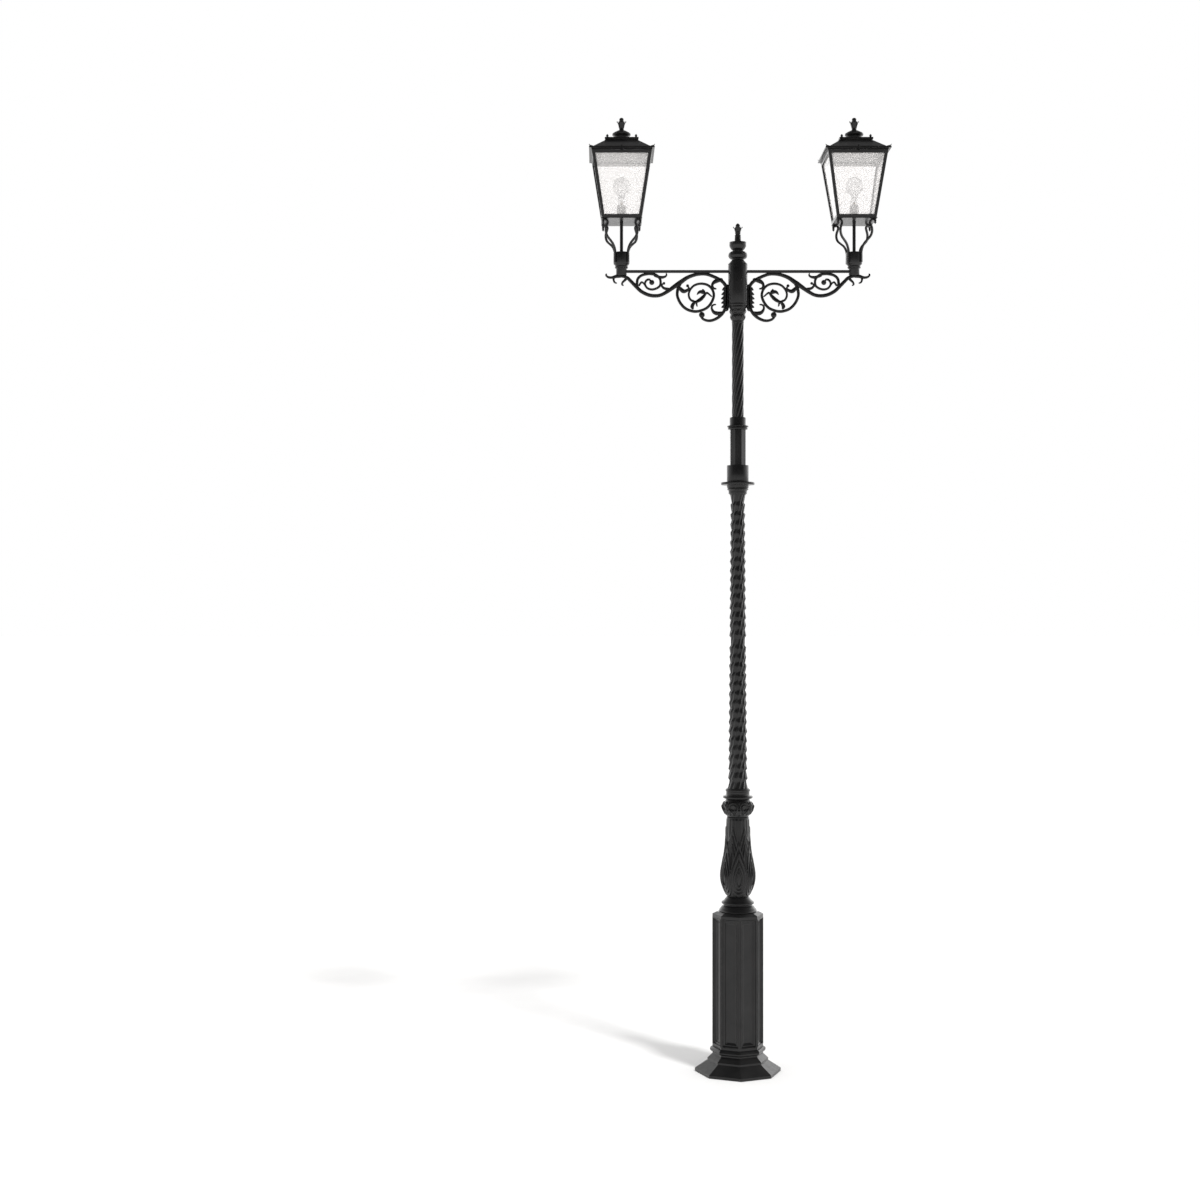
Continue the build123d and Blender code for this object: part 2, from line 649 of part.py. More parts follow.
# ---- lanterns, drawn about their own axis -----------------------------------------------------------
def cup_outside():
    z = cup_bottom
    return turned(
        [(27, z), (cup_body_r, z + 5), (cup_body_r, z + 38), (37, z + 42), (38, z + 47), (35, z + 52),
         (37, z + 57), (44, z + 64), (cup_r, z + 70), (cup_r, cup_top - 3), (cup_r - 3, cup_top)]
    )


def make_cup():
    cup = cup_outside() - rod(stem_r, cup_top - stem_socket, cup_top) - rod(wire_hole_r, rail_z, cup_top)
    cup -= bar_along_x(rail_r, -cup_body_r - 5, -cup_body_r + 12, 0, rail_z)
    cup -= bar_along_x(rail_r - rail_wall, -cup_body_r, 0, 0, rail_z)
    for leg in make_legs():
        cup -= leg
    return cup


def make_legs():
    """Four flat-sided bars, each bent in its own upright plane on a diagonal."""
    top = tray_bottom - leg_bar / 2
    path = FilletPolyline(
        (leg_foot_out, cup_top - leg_foot_down),
        (leg_foot_out, cup_top + 0.17 * legs_height),
        (leg_foot_out + 88, cup_top + 0.55 * legs_height),
        (leg_foot_out + 54, top),
        (leg_end * sqrt(2) + 5, top),
        radius=(80, 50, 14),
    )
    bar = sweep(Plane(path @ 0, z_dir=path % 0) * Rectangle(leg_bar, leg_bar), path)
    return in_quarters(Rot(90, 0, 0) * bar)


def make_stem():
    bottom = cup_top - stem_socket
    return rod(stem_r, bottom, frame_bottom) - rod(stem_r - stem_wall, bottom, frame_bottom)


def make_tray():
    plate = Pos(0, 0, tray_bottom + tray_thickness / 2) * Box(tray_side, tray_side, tray_thickness)
    return plate - rod(stem_r, tray_bottom, frame_bottom)


def make_pendants():
    """Acorn nuts under the legs' ends."""
    top = tray_bottom - leg_bar
    low = top - pendant_drop
    acorn = turned(
        [(0.8, low), (3, low + 3), (pendant_r, low + 9), (pendant_r - 1, low + 13), (3.5, low + 15),
         (pendant_r, low + 17), (pendant_r, top)]
    )
    return [Pos(x, y, 0) * acorn for x in (-leg_end, leg_end) for y in (-leg_end, leg_end)]


def frame_half(z):
    return frame_bottom_half + (z - frame_bottom) * frame_slope


def window_cut():
    deep = 4 * frame_top_half
    low = Pos(0, 0, frame_bottom + window_up) * Rectangle(2 * (frame_bottom_half - post_low), deep)
    high = Pos(0, 0, frame_top - window_down) * Rectangle(2 * (frame_top_half - post_high), deep)
    return loft([low, high], ruled=True)


def roof_knuckle(x, length, top):
    """Hinge barrel on the roof's axis with a web that stands up to the height top."""
    r = roof_pin_r + roof_knuckle_wall
    barrel = bar_along_x(r, x - length / 2, x + length / 2, roof_axis_y, roof_axis_z)
    web = block(x - length / 2, x + length / 2, roof_axis_y - r, roof_axis_y + r, roof_axis_z, top)
    return barrel + web


def make_glazing_frame():
    inner_bottom, inner_top = frame_bottom_half - frame_thickness, frame_top_half - frame_thickness
    frame = frustum(frame_bottom_half, frame_bottom, frame_top_half, frame_top)
    frame -= frustum(inner_bottom, frame_bottom, inner_top, frame_top)
    frame -= window_cut() + Rot(0, 0, 90) * window_cut()
    r = roof_pin_r + roof_knuckle_wall
    for x in hinge_places():
        for end in (-1, 1):
            at = x + end * (roof_knuckle_length + knuckle_gap)
            x0, x1 = at - roof_knuckle_length / 2, at + roof_knuckle_length / 2
            root = frame_half(roof_axis_z - r) - 2
            frame += bar_along_x(r, x0, x1, roof_axis_y, roof_axis_z)
            frame += block(x0, x1, root, roof_axis_y, roof_axis_z - r, roof_axis_z + r)
        frame -= roof_pin(x, roof_pin_r)
    return frame


def hinge_places():
    return (-roof_hinge_spacing / 2, roof_hinge_spacing / 2)


def roof_pin(x, r):
    half = (3 * roof_knuckle_length + 2 * knuckle_gap) / 2
    return bar_along_x(r, x - half, x + half, roof_axis_y, roof_axis_z)


def make_panes():
    """Four sheets of glass against the inside of the frame."""
    def section(z):
        inner = frame_half(z) - frame_thickness
        width = 2 * (inner - pane_thickness - pane_corner_gap)
        return Pos(0, -inner + pane_thickness / 2, z) * Rectangle(width, pane_thickness)

    pane = loft([section(frame_bottom), section(frame_top - pane_top_gap)], ruled=True)
    return in_quarters(pane, start=0)


def make_holder():
    z = frame_bottom
    body = turned([(holder_r + 2, z), (holder_r + 2, z + 5), (holder_r, z + 8), (holder_r, holder_top - 3),
                   (holder_r - 2, holder_top)])
    return body - rod(wire_hole_r, z, holder_top) - rod(socket_r, socket_floor, holder_top)


def make_lamp_cap():
    contact_r, contact_height, stem_foot_r = 8.0, 5.0, 9.0
    return turned(
        [(contact_r, socket_floor), (contact_r, socket_floor + contact_height),
         (lamp_cap_r, socket_floor + contact_height + 4), (lamp_cap_r, lamp_cap_top),
         (stem_foot_r, lamp_cap_top), (4, lamp_cap_top + 14), (4, lamp_cap_top + glass_stem_height)]
    )


def bulb_profile(inset):
    """Half outline of the envelope: straight neck, then a globe."""
    r, centre = bulb_r - inset, bulb_top - bulb_r
    neck = lamp_cap_r - inset
    join_angle = radians(-52)
    join = (r * cos(join_angle), centre + r * sin(join_angle))
    middle = (r * cos(radians(15)), centre + r * sin(radians(15)))
    bottom = lamp_cap_top
    edges = [
        Line((0, bottom), (neck, bottom)),
        Line((neck, bottom), (neck, bottom + bulb_neck)),
        Spline((neck, bottom + bulb_neck), join, tangents=((0, 1), (-sin(join_angle), cos(join_angle)))),
        ThreePointArc(join, middle, (0, centre + r)),
        Line((0, centre + r), (0, bottom)),
    ]
    return revolve(make_face([Plane.XZ * edge for edge in edges]), Axis.Z)


def make_bulb():
    return bulb_profile(0) - bulb_profile(bulb_wall)


def make_roof():
    inner, hip_bottom_half = roof_band_half - roof_wall, cornice_half - hip_in
    gallery_half = hip_top_half + gallery_out
    roof = frustum(roof_band_half, roof_bottom, roof_band_half, cornice_bottom)
    roof += frustum(cornice_half, cornice_bottom, cornice_half, cornice_top)
    roof += frustum(hip_bottom_half, cornice_top, hip_top_half, hip_top)
    roof += frustum(hip_top_half - 3, hip_top, hip_top_half - 3, gallery_bottom)
    roof += frustum(gallery_half, gallery_bottom, gallery_half, gallery_top)
    roof -= frustum(inner, roof_bottom, inner, cornice_bottom + 3)
    hollow_in = 3 * roof_wall
    roof -= frustum(hip_bottom_half - hollow_in, cornice_bottom + 3, hip_top_half - hollow_in, hip_top)
    roof -= rod(vent_hole_r, hip_top - 1, gallery_top)
    for x in hinge_places():
        roof += roof_knuckle(x, roof_knuckle_length, cornice_bottom + 1)
        roof -= bar_along_x(roof_pin_r + pin_clearance, x - roof_knuckle_length, x + roof_knuckle_length,
                            roof_axis_y, roof_axis_z)
    return roof - Pos(0, catch_y, 0) * rod(catch_r + pin_clearance, roof_bottom, cornice_top)


def make_reflector():
    """Plate above the lamp, with its corners cut off to let the air out to the vent."""
    half, z = roof_band_half - roof_wall, roof_bottom + 1
    plate = frustum(half, z, half, z + reflector_thickness)
    corner = half * sqrt(2)
    gap = block(corner - air_gap, corner + 1, -2 * air_gap, 2 * air_gap, z, z + reflector_thickness)
    for cut in in_quarters(gap):
        plate -= cut
    return plate


def make_vent_cap():
    z, brim = gallery_top, gallery_top + vent_brim_up
    cap = turned(
        [(vent_neck_r + 3, z), (vent_neck_r + 3, z + 4), (vent_neck_r, z + 8), (vent_neck_r, z + 22),
         (vent_brim_r - 4, brim - 6), (vent_brim_r, brim), (vent_brim_r - 3, brim + 5), (34, brim + 15),
         (14, vent_top - 1), (12, vent_top)]
    )
    return cap - rod(vent_hole_r, z, brim - 6)


def make_finials():
    """Flower finial and the gallery's four corner knobs."""
    z = vent_top
    flower = turned([(12, z), (12.5, z + 4), (14, z + 18), (17.5, z + 34), (24.5, z + 46), (14, z + 47),
                     (12, z + 56), (10.5, z + 64), (6, z + 67), (2, z + roof_finial_height)])
    low = gallery_top
    knob = turned([(5, low), (4, low + 3), (knob_r, low + 8), (knob_r - 1, low + 13), (1, low + knob_height)])
    out = hip_top_half + gallery_out - knob_in
    knobs = [Pos(x, y, 0) * knob for x in (-out, out) for y in (-out, out)]
    return [flower] + knobs


def make_catch():
    """Quarter-turn catch at the front. Stored released, with the tongue along the rail."""
    z, half = tongue_z, tongue_width / 2
    stud = rod(catch_r, z, cornice_top + body_gap)
    head = rod(catch_head_r, cornice_top + body_gap, cornice_top + 3)
    wing = block(-catch_head_r, catch_head_r, -1.5, 1.5, cornice_top + 2, cornice_top + catch_head_height)
    tongue = block(-half, tongue_length, -half, half, z, z + tongue_thickness)
    return Pos(0, catch_y, 0) * (stud + head + wing + tongue)


def make_keeper():
    """Lug on the frame that the turned tongue lies under."""
    bottom, half = tongue_z + tongue_thickness + turn_gap, keeper_half_width
    front, back = -frame_top_half - keeper_out, -frame_top_half + frame_thickness / 2
    lug = block(-half, half, front, back, bottom, bottom + keeper_thickness)
    return lug - frustum(frame_bottom_half, frame_bottom, frame_top_half, frame_top)


def save(name, shape):
    """Writes one node. A list becomes a group of separate solids."""
    if isinstance(shape, list):
        shape = Compound(children=[solid for item in shape for solid in item.solids()])
    export_step(shape, f"parts/{name}.step")


column = {
    "foot": make_foot,
    "pedestal": make_pedestal,
    "door_frame": make_door_frame,
    "frame_hinge_leaves": make_frame_hinge_leaves,
    "access_door": make_door,
    "door_hinge_leaves": make_door_hinge_leaves,
    "door_lock": make_door_lock,
    "base_flange": make_base_flange,
    "core_tube": make_core_tube,
    "mounting_board": make_mounting_board,
    "cutout_unit": make_cutout_unit,
    "fuse_carrier": make_fuse_carrier,
    "earth_stud": make_earth_stud,
    "pedestal_cap": make_pedestal_cap,
    "baluster": make_baluster,
    "leaf_collar": make_leaf_collar,
    "shaft_base_ring": make_shaft_base_ring,
    "lower_shaft": make_lower_shaft,
    "shaft_capital": make_shaft_capital,
    "spigot_sleeve": make_sleeve,
    "octagonal_neck": make_octagonal_neck,
    "neck_ring": make_neck_ring,
    "upper_shaft": make_upper_shaft,
    "upper_capital": make_upper_capital,
    "hub": make_hub,
    "hub_cap": make_hub_cap,
    "hub_finial": make_hub_finial,
    "arm_rails": make_rail,
    "bracket_bolts": make_bracket_bolts,
}
# The cup is turned to face the column, because the rail enters it from that side.
lantern = {
    "lantern_cup": make_cup,
    "frog_legs": make_legs,
    "bottom_tray": make_tray,
    "glazing_frame": make_glazing_frame,
    "glass_panes": make_panes,
    "lamp_holder": make_holder,
    "lamp_bulb": make_bulb,
    "roof": make_roof,
    "vent_cap": make_vent_cap,
    "roof_finials": make_finials,
    "roof_catch": make_catch,
    "reflector_plate": make_reflector,
}


def placed(shapes, side, turn=0.0):
    items = shapes if isinstance(shapes, list) else [shapes]
    return [Pos(side * lantern_x, 0, 0) * Rot(0, 0, turn) * item for item in items]


for name, make in column.items():
    save(name, make())

for side, label in ((-1, "left"), (1, "right")):
    save(f"scroll_bracket_{label}", make_bracket(side))

for name, make in lantern.items():
    piece = make()
    for side, label in ((-1, "left"), (1, "right")):
        turn = 180.0 if name == "lantern_cup" and side < 0 else 0.0
        save(f"{name}_{label}", placed(piece, side, turn))


def both_sides(shapes):
    return placed(shapes, -1) + placed(shapes, 1)


roof_pins = [roof_pin(x, roof_pin_r) for x in hinge_places()]
save("hinge_pins", make_door_pins() + both_sides(roof_pins))
save("corner_pendants", both_sides(make_pendants()))
save("conduit_stems", both_sides(make_stem()))
save("lamp_caps", both_sides(make_lamp_cap()))
save("catch_keepers", both_sides(make_keeper()))
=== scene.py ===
"""Looks of the two-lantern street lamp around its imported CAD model.

Metres, +Z up, the front is -Y and the arms lie along X, as in the CAD. Small sizes are written in
millimetres times mm. Places and outer sizes come from the frame's own nodes.
"""
import bisect
import json
from math import cos, exp, hypot, pi, radians, sin, sqrt

import bmesh
import bpy
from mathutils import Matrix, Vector


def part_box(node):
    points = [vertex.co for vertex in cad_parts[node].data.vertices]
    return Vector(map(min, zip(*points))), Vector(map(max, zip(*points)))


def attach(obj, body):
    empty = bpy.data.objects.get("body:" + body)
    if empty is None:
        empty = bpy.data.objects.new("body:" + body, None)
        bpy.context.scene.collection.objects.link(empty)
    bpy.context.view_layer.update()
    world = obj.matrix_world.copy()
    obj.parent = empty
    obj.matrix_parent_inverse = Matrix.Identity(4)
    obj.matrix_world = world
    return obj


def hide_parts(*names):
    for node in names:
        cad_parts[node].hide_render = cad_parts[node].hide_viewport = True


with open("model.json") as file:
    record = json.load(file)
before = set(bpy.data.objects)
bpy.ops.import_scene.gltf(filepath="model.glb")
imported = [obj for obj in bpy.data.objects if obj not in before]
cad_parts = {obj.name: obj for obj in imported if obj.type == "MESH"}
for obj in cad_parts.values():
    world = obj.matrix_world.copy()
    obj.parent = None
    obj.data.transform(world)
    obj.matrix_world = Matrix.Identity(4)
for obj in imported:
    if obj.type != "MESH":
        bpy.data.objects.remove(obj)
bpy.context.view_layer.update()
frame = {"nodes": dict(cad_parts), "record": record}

nodes = frame["nodes"]
mm = 0.001
sides = {"left": -1, "right": 1}
up = Vector((0, 0, 1))
front = -pi / 2  # direction of the front, as an angle from +X


# ---- mesh helpers -----------------------------------------------------------------------------------
class Shape:
    """Vertices and faces of one piece while it is put together."""

    def __init__(self):
        self.verts, self.faces = [], []

    def skin(self, rings, around=True, ends=True):
        """Surface through rings that all have the same number of points."""
        start, n = len(self.verts), len(rings[0])
        for ring in rings:
            self.verts.extend(ring)
        for i in range(len(rings) - 1):
            for j in range(n if around else n - 1):
                a, b = start + i * n, start + (i + 1) * n
                k = (j + 1) % n
                self.faces.append((a + j, a + k, b + k, b + j))
        if ends:
            last = start + (len(rings) - 1) * n
            self.faces.append(tuple(start + n - 1 - j for j in range(n)))
            self.faces.append(tuple(last + j for j in range(n)))

    def turned(self, points, at=(0, 0, 0), around=64):
        """Solid of revolution about Z through (radius, height) points."""
        x, y, z = at
        angles = [2 * pi * i / around for i in range(around)]
        self.skin([[Vector((x + r * cos(a), y + r * sin(a), z + h)) for a in angles] for r, h in points])

    def ball(self, centre, size, steps=10):
        """Ellipsoid with half sizes size."""
        rings = []
        for i in range(1, steps):
            a = pi * i / steps - pi / 2
            ring = [(cos(2 * pi * j / (2 * steps)), sin(2 * pi * j / (2 * steps))) for j in range(2 * steps)]
            rings.append([Vector((centre[0] + size[0] * cos(a) * c, centre[1] + size[1] * cos(a) * s,
                                  centre[2] + size[2] * sin(a))) for c, s in ring])
        self.skin(rings)

    def bar(self, path, across, thick, side, power=0.8, around=12, round_ends=True):
        """Bar with a rounded section along a path of points. Its width lies along side, its thickness
        across side and the path. across and thick are lists of sizes, spread evenly along the path."""
        rings, count = [], len(path)
        lengths = [0.0]
        for a, b in zip(path, path[1:]):
            lengths.append(lengths[-1] + (b - a).length)
        whole = lengths[-1]
        for i, at in enumerate(path):
            along = (path[min(i + 1, count - 1)] - path[max(i - 1, 0)]).normalized()
            reach = side - along * side.dot(along)
            reach.normalize()
            over = along.cross(reach)
            part = lengths[i] / whole
            half_w, half_t = spread(across, part) / 2, spread(thick, part) / 2
            if round_ends:
                small = min(half_w, half_t)
                near = min(lengths[i], whole - lengths[i]) / small
                if near < 1:
                    keep = 0.25 + 0.75 * sqrt(1 - (1 - near) ** 2)
                    half_w, half_t = half_w * keep, half_t * keep
            ring = []
            for j in range(around):
                a = 2 * pi * (j + 0.5) / around
                c, s = cos(a), sin(a)
                c = abs(c) ** power * (1 if c > 0 else -1)
                s = abs(s) ** power * (1 if s > 0 else -1)
                ring.append(at + reach * half_w * c + over * half_t * s)
            rings.append(ring)
        self.skin(rings)

    def piece(self, name, look, body, replaces=(), sharp=40.0):
        """Makes the object, shaded smooth up to the sharp angle, and lets it ride on a body."""
        mesh = bpy.data.meshes.new(name)
        mesh.from_pydata([tuple(v) for v in self.verts], [], self.faces)
        work = bmesh.new()
        work.from_mesh(mesh)
        bmesh.ops.recalc_face_normals(work, faces=work.faces)
        work.to_mesh(mesh)
        work.free()
        mesh.polygons.foreach_set("use_smooth", [True] * len(mesh.polygons))
        mesh.set_sharp_from_angle(angle=radians(sharp))
        item = bpy.data.objects.new(name, mesh)
        bpy.context.scene.collection.objects.link(item)
        mesh.materials.append(looks[look])
        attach(item, body)
        if replaces:
            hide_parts(*replaces)
        return item


def spread(values, part):
    """Value at part (0 to 1) of the way along a list of values."""
    if len(values) == 1:
        return values[0]
    place = part * (len(values) - 1)
    i = min(int(place), len(values) - 2)
    return values[i] + (values[i + 1] - values[i]) * (place - i)


def smooth(points, steps=8):
    """Points along a smooth line through the given points."""
    ends = [points[0] * 2 - points[1]] + list(points) + [points[-1] * 2 - points[-2]]
    line = []
    for p0, p1, p2, p3 in zip(ends, ends[1:], ends[2:], ends[3:]):
        for i in range(steps):
            t = i / steps
            line.append(0.5 * (2 * p1 + (p2 - p0) * t + (2 * p0 - 5 * p1 + 4 * p2 - p3) * t**2
                               + (3 * p1 - p0 - 3 * p2 + p3) * t**3))
    line.append(points[-1])
    return line


def turned_radius(node):
    """Outer radius of a turned CAD node about the column's axis, as a function of height."""
    rings = {}
    for v in nodes[node].data.vertices:
        z = round(v.co.z, 5)
        rings[z] = max(rings.get(z, 0.0), hypot(v.co.x, v.co.y))
    heights = sorted(rings)

    def radius(z):
        i = min(max(bisect.bisect(heights, z), 1), len(heights) - 1)
        low, high = heights[i - 1], heights[i]
        t = min(max((z - low) / (high - low), 0), 1)
        return rings[low] + (rings[high] - rings[low]) * t

    return radius


def blend_in(value, low, high):
    """0 below low, 1 above high, smooth between."""
    t = min(max((value - low) / (high - low), 0), 1)
    return t * t * (3 - 2 * t)


def drop(x, h, half, below, above):
    """Distance, roughly, out from a drop outline: round below h = 0, drawn to a point above it."""
    x = abs(x)
    if h < 0:
        k = hypot(x / half, h / below)
        steep = hypot(x / half**2, h / below**2) / max(k, 1e-6)
        return (k - 1) / max(steep, 1e-6)
    t = h / above
    if t >= 1:
        return hypot(x, h - above)
    width = half * (1 - t) ** 1.5 * (1 + 1.5 * t)
    slope = half / above * (1 - t) ** 0.5 * (1.5 * (1 - t) - 1.5 * (1 + 1.5 * t))
    return (x - width) / sqrt(1 + slope**2)


def ridge(distance, width):
    return exp(-((distance / width) ** 2))


# ---- materials --------------------------------------------------------------------------------------
looks = {}


def new_look(name, colour, rough, metallic=0.0):
    material = bpy.data.materials.new(name)
    material.use_nodes = True
    tree = material.node_tree
    shader = tree.nodes["Principled BSDF"]
    shader.inputs["Base Color"].default_value = (*colour, 1)
    shader.inputs["Roughness"].default_value = rough
    shader.inputs["Metallic"].default_value = metallic
    looks[name] = material
    return tree, shader


def noise(tree, scale, detail=3.0, stretch=(1, 1, 1)):
    """Noise in the object's own space, scale per metre."""
    place = tree.nodes.new("ShaderNodeTexCoord")
    shift = tree.nodes.new("ShaderNodeMapping")
    shift.inputs["Scale"].default_value = stretch
    texture = tree.nodes.new("ShaderNodeTexNoise")
    texture.inputs["Scale"].default_value = scale
    texture.inputs["Detail"].default_value = detail
    tree.links.new(place.outputs["Object"], shift.inputs["Vector"])
    tree.links.new(shift.outputs["Vector"], texture.inputs["Vector"])
    return texture.outputs["Fac"]


def ramp(tree, source, low, high, start=0.35, end=0.65):
    """Maps source, from start to end, to colours or grey levels from low to high."""
    node = tree.nodes.new("ShaderNodeValToRGB")
    node.color_ramp.elements[0].position, node.color_ramp.elements[1].position = start, end
    node.color_ramp.elements[0].color = (*low, 1) if isinstance(low, tuple) else (low, low, low, 1)
    node.color_ramp.elements[1].color = (*high, 1) if isinstance(high, tuple) else (high, high, high, 1)
    tree.links.new(source, node.inputs["Fac"])
    return node.outputs["Color"]


def bump(tree, shader, layers):
    """Stacks bump layers: (height source, depth in metres)."""
    last = None
    for source, depth in layers:
        node = tree.nodes.new("ShaderNodeBump")
        node.inputs["Strength"].default_value = 1.0
        node.inputs["Distance"].default_value = depth
        tree.links.new(source, node.inputs["Height"])
        if last:
            tree.links.new(last, node.inputs["Normal"])
        last = node.outputs["Normal"]
    tree.links.new(last, shader.inputs["Normal"])


def make_black_paint():
    """Glossy black paint over the slight grain of a sand casting."""
    tree, shader = new_look("black_paint", (0.008, 0.008, 0.008), 0.32)
    shader.inputs["Specular IOR Level"].default_value = 0.2
    shader.inputs["Coat Weight"].default_value = 0.45
    shader.inputs["Coat Roughness"].default_value = 0.22
    tone = ramp(tree, noise(tree, 9, 5), (0.005, 0.005, 0.0052), (0.010, 0.0097, 0.0097))
    tree.links.new(tone, shader.inputs["Base Color"])
    tree.links.new(ramp(tree, noise(tree, 60, 5), 0.28, 0.42), shader.inputs["Roughness"])
    bump(tree, shader, [(noise(tree, 420, 4), 0.07 * mm), (noise(tree, 45, 3), 0.25 * mm)])


def make_pane_glass():
    """Seeded glass with a thin white veil."""
    tree, shader = new_look("pane_glass", (0.985, 0.972, 0.965), 0.12)
    shader.inputs["IOR"].default_value = 1.2
    seeds = ramp(tree, noise(tree, 170, 2), 0.66, 0.78, 0.42, 0.58)
    tree.links.new(seeds, shader.inputs["Transmission Weight"])
    tree.links.new(ramp(tree, noise(tree, 40, 3), 0.03, 0.06), shader.inputs["Roughness"])
    bump(tree, shader, [(noise(tree, 350, 3), 0.02 * mm), (noise(tree, 60, 2), 0.03 * mm)])


def make_bulb_glass():
    tree, shader = new_look("bulb_glass", (0.90, 0.90, 0.90), 0.03)
    shader.inputs["Transmission Weight"].default_value = 1.0
    shader.inputs["IOR"].default_value = 1.5
    tree.links.new(ramp(tree, noise(tree, 30, 2), 0.02, 0.06), shader.inputs["Roughness"])
    bump(tree, shader, [(noise(tree, 25, 1), 0.05 * mm)])


def make_plain(name, low, high, rough_low, rough_high, grain, depth, metallic=0.0, stretch=(1, 1, 1)):
    """Look with a slight change of tone and gloss and a fine grain."""
    tree, shader = new_look(name, low, rough_low, metallic)
    tone = ramp(tree, noise(tree, grain / 6, 4, stretch), low, high)
    gloss = ramp(tree, noise(tree, grain / 3, 3, stretch), rough_low, rough_high)
    tree.links.new(tone, shader.inputs["Base Color"])
    tree.links.new(gloss, shader.inputs["Roughness"])
    bump(tree, shader, [(noise(tree, grain, 3, stretch), depth)])


make_black_paint()
make_pane_glass()
make_bulb_glass()
make_plain("holder_ceramic", (0.84, 0.84, 0.82), (0.89, 0.89, 0.87), 0.15, 0.25, 200, 0.02 * mm)
make_plain("lamp_brass", (0.70, 0.53, 0.27), (0.77, 0.60, 0.33), 0.22, 0.38, 300, 0.02 * mm, 1.0)
make_plain("steel_hardware", (0.42, 0.42, 0.43), (0.52, 0.52, 0.53), 0.28, 0.45, 500, 0.03 * mm, 1.0)
make_plain("galvanised_steel", (0.42, 0.43, 0.44), (0.58, 0.59, 0.60), 0.35, 0.6, 120, 0.05 * mm, 1.0)
make_plain("grey_plastic", (0.30, 0.31, 0.32), (0.34, 0.35, 0.36), 0.4, 0.55, 900, 0.03 * mm)
make_plain("fuse_plastic", (0.025, 0.025, 0.028), (0.035, 0.035, 0.038), 0.3, 0.45, 900, 0.03 * mm)
make_plain("reflector_white", (0.82, 0.82, 0.81), (0.87, 0.87, 0.86), 0.25, 0.4, 150, 0.05 * mm)
make_plain("board", (0.42, 0.28, 0.15), (0.60, 0.43, 0.26), 0.35, 0.6, 160, 0.12 * mm, 0.0, (1, 1, 0.12))


# ---- CAD nodes --------------------------------------------------------------------------------------
slots = {part["node"]: part["material_slot"] for part in frame["record"]["subparts"]}
# Radius in millimetres that softens the edges of a CAD node.
column_edges = {"foot": 1.5, "pedestal": 1.2, "access_door": 0.8, "pedestal_cap": 1.0,
                "shaft_base_ring": 1.0, "shaft_capital": 1.0, "spigot_sleeve": 1.0,
                "octagonal_neck": 1.2, "neck_ring": 1.0, "hub": 1.0, "hub_cap": 1.0}
lantern_edges = {"lantern_cup": 0.8, "frog_legs": 1.5, "bottom_tray": 0.8, "glazing_frame": 0.8,
                 "lamp_holder": 0.8, "roof": 0.8}


def dress(node):
    """Gives a CAD node its look."""
    for place in nodes[node].material_slots:
        place.material = looks[slots[node]]


def soften(node, edge):
    """Rounds the sharp edges of a CAD node."""
    weld = nodes[node].modifiers.new("weld", "WELD")
    weld.merge_threshold = 0.01 * mm
    soft = nodes[node].modifiers.new("edges", "BEVEL")
    soft.width, soft.segments = edge * mm, 2
    soft.limit_method, soft.angle_limit = "ANGLE", radians(35)
    soft.harden_normals = False


def dress_all():
    for node in nodes:
        dress(node)
    for node, edge in column_edges.items():
        soften(node, edge)
    for label in sides:
        for node, edge in lantern_edges.items():
            soften(f"{node}_{label}", edge)


# ---- column -----------------------------------------------------------------------------------------
def twisted(node, ribs, lead, hollow, steps, rows):
    """Shaft whose ribs wind up to the right. hollow(u) is how deep the surface lies below the CAD
    radius, as a share of it, for u from 0 at one rib to 1 at the next."""
    low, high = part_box(node)
    radius = turned_radius(node)
    count = ribs * steps
    rings = []
    for row in range(rows + 1):
        z = low.z + (high.z - low.z) * row / rows
        turn = 2 * pi * (z - low.z) / lead
        ring = []
        for i in range(count):
            a = front + turn + 2 * pi * i / count
            r = radius(z) * (1 - hollow((i % steps) / steps))
            ring.append(Vector((r * cos(a), r * sin(a), z)))
        rings.append(ring)
    shape = Shape()
    shape.skin(rings)
    return shape


def make_lower_shaft():
    """Fluted shaft, with a flat arris left between the flutes."""
    arris, depth = 0.09, 0.085

    def hollow(u):
        inside = min(max((u - arris / 2) / (1 - arris), 0), 1)
        return depth * (1 - (2 * inside - 1) ** 2) ** 0.8

    twisted("lower_shaft", 12, 1.05, hollow, 14, 150).piece(
        "fluted_shaft", "black_paint", "column", ["lower_shaft"], 60)


def make_upper_shaft():
    """Shaft of rounded strands, like a rope."""
    twisted("upper_shaft", 8, 0.573, lambda u: 0.13 * (1 - sin(pi * u) ** 0.8), 12, 80).piece(
        "rope_shaft", "black_paint", "column", ["upper_shaft"], 60)


def carved(node, height, columns, rows, inset=0.0):
    """Turned CAD node with a carved surface: height(angle from the front, radius, height above the node's
    foot) adds to the radius."""
    low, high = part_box(node)
    radius = turned_radius(node)
    rings = []
    for row in range(rows + 1):
        z = low.z + (high.z - low.z) * row / rows
        r = radius(z) - inset
        ring = []
        for i in range(columns):
            a = 2 * pi * i / columns
            out = r + height(a, r, z - low.z)
            ring.append(Vector((out * cos(front + a), out * sin(front + a), z)))
        rings.append(ring)
    shape = Shape()
    shape.skin(rings)
    return shape


def around_nearest(a, count, offset=0.0):
    """Angle from the nearest of count places around the column, the first at offset from the front."""
    step = 2 * pi / count
    return (a - offset + step / 2) % step - step / 2


